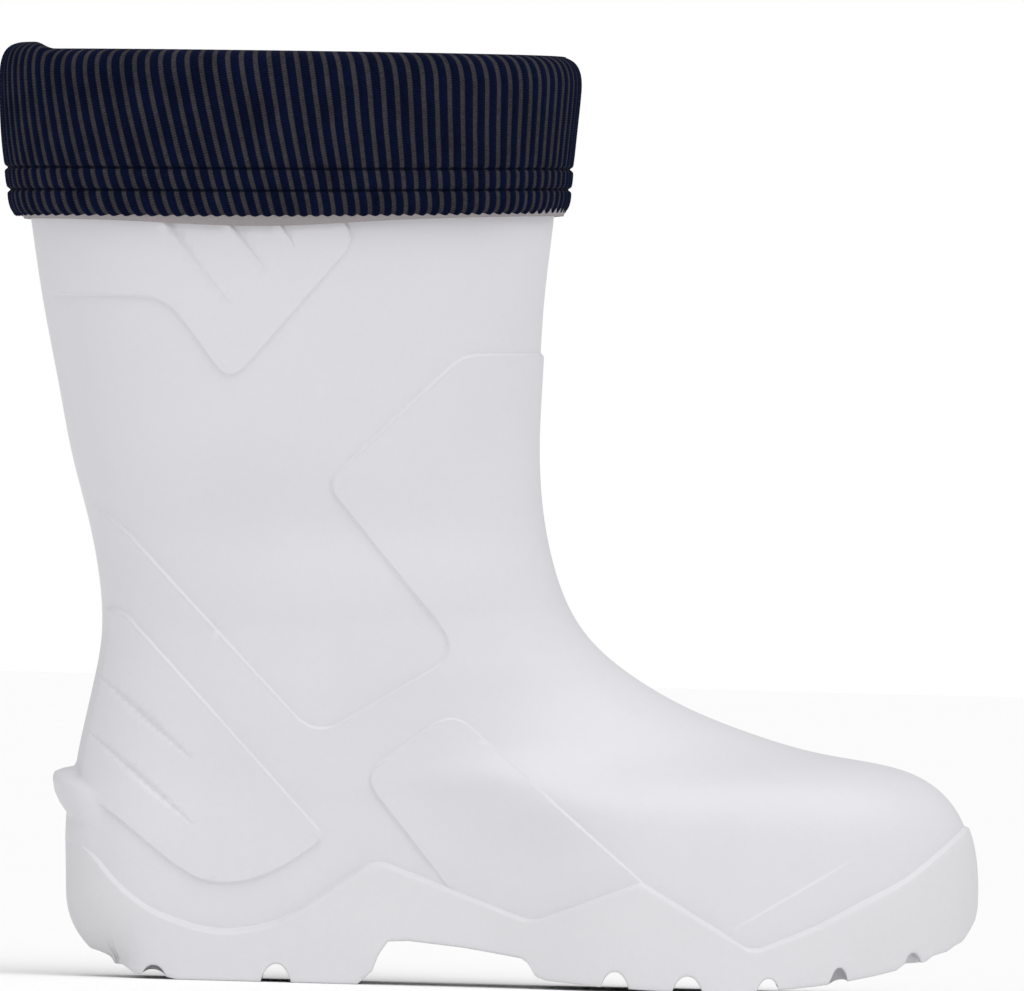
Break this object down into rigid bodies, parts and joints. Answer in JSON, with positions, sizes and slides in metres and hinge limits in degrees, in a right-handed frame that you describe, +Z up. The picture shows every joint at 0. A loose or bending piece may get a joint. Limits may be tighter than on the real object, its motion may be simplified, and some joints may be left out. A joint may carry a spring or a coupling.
{
  "type": "work boot",
  "caption": "Right work boot: a moulded pull-on boot with a raised-panel upper, cup sole with heel and arch, and a fabric liner turned down over the collar as a ribbed cuff.",
  "frame": {"origin": "on the ground under the middle of the boot's bounding box", "axes": "+X from heel to toe, +Y towards the boot's inner side, +Z up from the ground to the collar"},
  "size_m": [0.3284, 0.1264, 0.3061],
  "materials": {
    "upper": "satin white moulded foam",
    "sole": "matte off-white moulded foam",
    "liner": "ribbed navy and grey knit"
  },
  "bodies": {
    "root": {"upper": "upper", "sole": "sole", "liner": "liner"}
  },
  "joints": []
}
